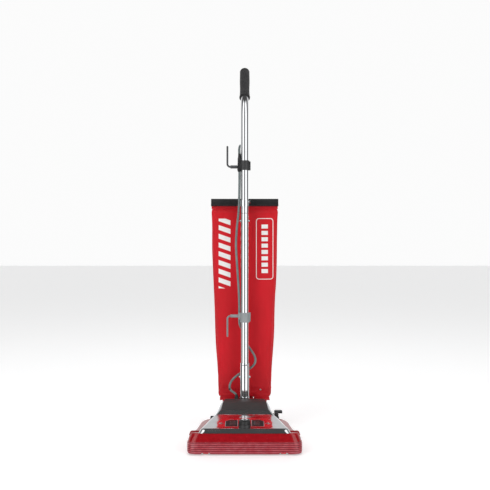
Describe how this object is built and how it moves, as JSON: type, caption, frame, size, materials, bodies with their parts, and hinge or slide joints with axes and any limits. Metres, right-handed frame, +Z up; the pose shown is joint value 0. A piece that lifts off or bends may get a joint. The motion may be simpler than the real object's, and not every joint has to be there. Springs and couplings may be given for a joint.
{
  "type": "upright vacuum cleaner",
  "caption": "Upright commercial vacuum: red ribbed nozzle base, chrome hood, tilting chrome handle with grip and cord hooks, slide-closed cloth dust bag, coiled supply cord.",
  "frame": {"origin": "centre of the machine's footprint box on the floor, without the free supply cord", "axes": "+Z up along the upright handle, -Y towards the front of the nozzle, +X to the right as seen from the front"},
  "size_m": [0.343, 0.621, 1.2186],
  "materials": {
    "clear_red": "gloss",
    "hood_chrome": "polished",
    "handle_chrome": "polished",
    "badge_red": "satin",
    "steel": "satin",
    "black_plastic": "satin",
    "switch_red": "satin",
    "clear_plastic": "gloss",
    "cast_alloy": "as cast",
    "armature_core": "lacquered",
    "wood": "varnished",
    "bristle": "matte",
    "belt_rubber": "matte",
    "grip_rubber": "satin",
    "tyre_rubber": "matte",
    "cord_grey": "satin",
    "hook_grey": "satin",
    "hook_dark": "satin",
    "bag_cloth": "woven"
  },
  "bodies": {
    "base": {"base_housing": "clear_red", "hood": "hood_chrome", "hood_label": "badge_red", "knob_bezel": "black_plastic", "bottom_plate": "steel", "intake_duct": "black_plastic", "fan_chamber": "clear_plastic", "motor_housing": "steel", "exhaust_duct": "black_plastic", "rear_axle": "steel", "bail_ears": "steel", "pivot_bolts": "handle_chrome", "pedal_bracket": "steel", "pedal_spring": "steel", "switch_housing": "black_plastic", "cord_gland": "grip_rubber", "brush_bearings": "black_plastic", "hood_screws": "handle_chrome", "drive_belt": "belt_rubber", "carriage_rod": "steel", "bag_cuff": "bag_cloth", "cord_lead_lower": "cord_grey", "supply_hang": "cord_grey", "supply_coil": "cord_grey", "coil_tie": "grip_rubber", "supply_plug": "grip_rubber"},
    "handle": {"handle_bail": "steel", "bail_arms": "steel", "handle_socket": "handle_chrome", "socket_bolt": "handle_chrome", "handle_tube_lower": "handle_chrome", "handle_tube_upper": "handle_chrome", "tube_bolt": "handle_chrome", "handle_grip": "grip_rubber", "hook_clip_lower": "hook_grey", "cord_hook_lower": "hook_grey", "hook_clip_upper": "black_plastic", "bag_hanger": "handle_chrome", "bag": "bag_cloth", "cord_lead_upper": "cord_grey"},
    "upper_hook": {"cord_hook_upper": "hook_dark"},
    "closure": {"bag_closure": "black_plastic"},
    "wheel_left": {"rear_wheel_left": "black_plastic", "rear_tyre_left": "tyre_rubber"},
    "wheel_right": {"rear_wheel_right": "black_plastic", "rear_tyre_right": "tyre_rubber"},
    "carriage": {"wheel_carriage": "black_plastic"},
    "front_left": {"front_wheel_left": "tyre_rubber"},
    "front_right": {"front_wheel_right": "tyre_rubber"},
    "knob": {"height_knob": "black_plastic", "height_cam": "steel"},
    "rotor": {"armature": "armature_core", "fan": "cast_alloy", "motor_pulley": "steel"},
    "brush": {"brush_roll": "wood", "brush_tufts": "bristle"},
    "latch_left": {"plate_latch_left": "steel"},
    "latch_right": {"plate_latch_right": "steel"},
    "pedal": {"release_pedal": "black_plastic"},
    "switch": {"power_switch": "switch_red"}
  },
  "joints": [
    {"name": "handle_tilt", "type": "hinge", "parent": "base", "child": "handle", "pos_m": [0, 0.07554, 0.08], "axis": [-1, 0, 0], "range_deg": [0, 75], "deforming": ["bag_cuff", "cord_lead_lower", "supply_hang"]},
    {"name": "upper_hook_swivel", "type": "hinge", "parent": "handle", "child": "upper_hook", "pos_m": [-0.03, 0.04954, 0.873], "axis": [1, 0, 0], "range_deg": [0, 180]},
    {"name": "closure_slide", "type": "slide", "parent": "handle", "child": "closure", "axis": [1, 0, 0], "range_m": [0, 0.225]},
    {"name": "rear_wheel_left_spin", "type": "hinge", "parent": "base", "child": "wheel_left", "pos_m": [-0.104, 0.09354, 0.028], "axis": [1, 0, 0], "continuous": true},
    {"name": "rear_wheel_right_spin", "type": "hinge", "parent": "base", "child": "wheel_right", "pos_m": [0.104, 0.09354, 0.028], "axis": [1, 0, 0], "continuous": true},
    {"name": "height_knob_turn", "type": "hinge", "parent": "base", "child": "knob", "pos_m": [0, -0.14146, 0.09], "axis": [0, 0, 1], "range_deg": [0, 150]},
    {"name": "carriage_lift", "type": "hinge", "parent": "base", "child": "carriage", "pos_m": [0, 0.02554, 0.011], "axis": [1, 0, 0], "range_deg": [0, 2.6]},
    {"name": "front_wheel_left_spin", "type": "hinge", "parent": "carriage", "child": "front_left", "pos_m": [-0.055, -0.08646, 0.015], "axis": [1, 0, 0], "continuous": true},
    {"name": "front_wheel_right_spin", "type": "hinge", "parent": "carriage", "child": "front_right", "pos_m": [0.055, -0.08646, 0.015], "axis": [1, 0, 0], "continuous": true},
    {"name": "motor_spin", "type": "hinge", "parent": "base", "child": "rotor", "pos_m": [0, -0.01246, 0.06], "axis": [0, 0, 1], "continuous": true},
    {"name": "brush_spin", "type": "hinge", "parent": "base", "child": "brush", "pos_m": [0, -0.14246, 0.027], "axis": [1, 0, 0], "continuous": true},
    {"name": "latch_left_turn", "type": "hinge", "parent": "base", "child": "latch_left", "pos_m": [-0.11, -0.08246, 0.005], "axis": [0, 0, 1], "range_deg": [0, 90]},
    {"name": "latch_right_turn", "type": "hinge", "parent": "base", "child": "latch_right", "pos_m": [0.11, -0.08246, 0.005], "axis": [0, 0, 1], "range_deg": [0, 90]},
    {"name": "release_pedal_press", "type": "hinge", "parent": "base", "child": "pedal", "pos_m": [0.102, 0.05154, 0.07], "axis": [-1, 0, 0], "range_deg": [0, 12], "stiffness_Nm_per_rad": 0.6, "springref_deg": -2.86},
    {"name": "power_switch_rock", "type": "hinge", "parent": "base", "child": "switch", "pos_m": [-0.046, 0.05454, 0.0895], "axis": [1, 0, 0], "range_deg": [0, 14]}
  ],
  "couplings": [
    {"joint": "carriage_lift", "follows": "height_knob_turn", "ratio": 0.017333},
    {"joint": "brush_spin", "follows": "motor_spin", "ratio": -0.65517}
  ]
}
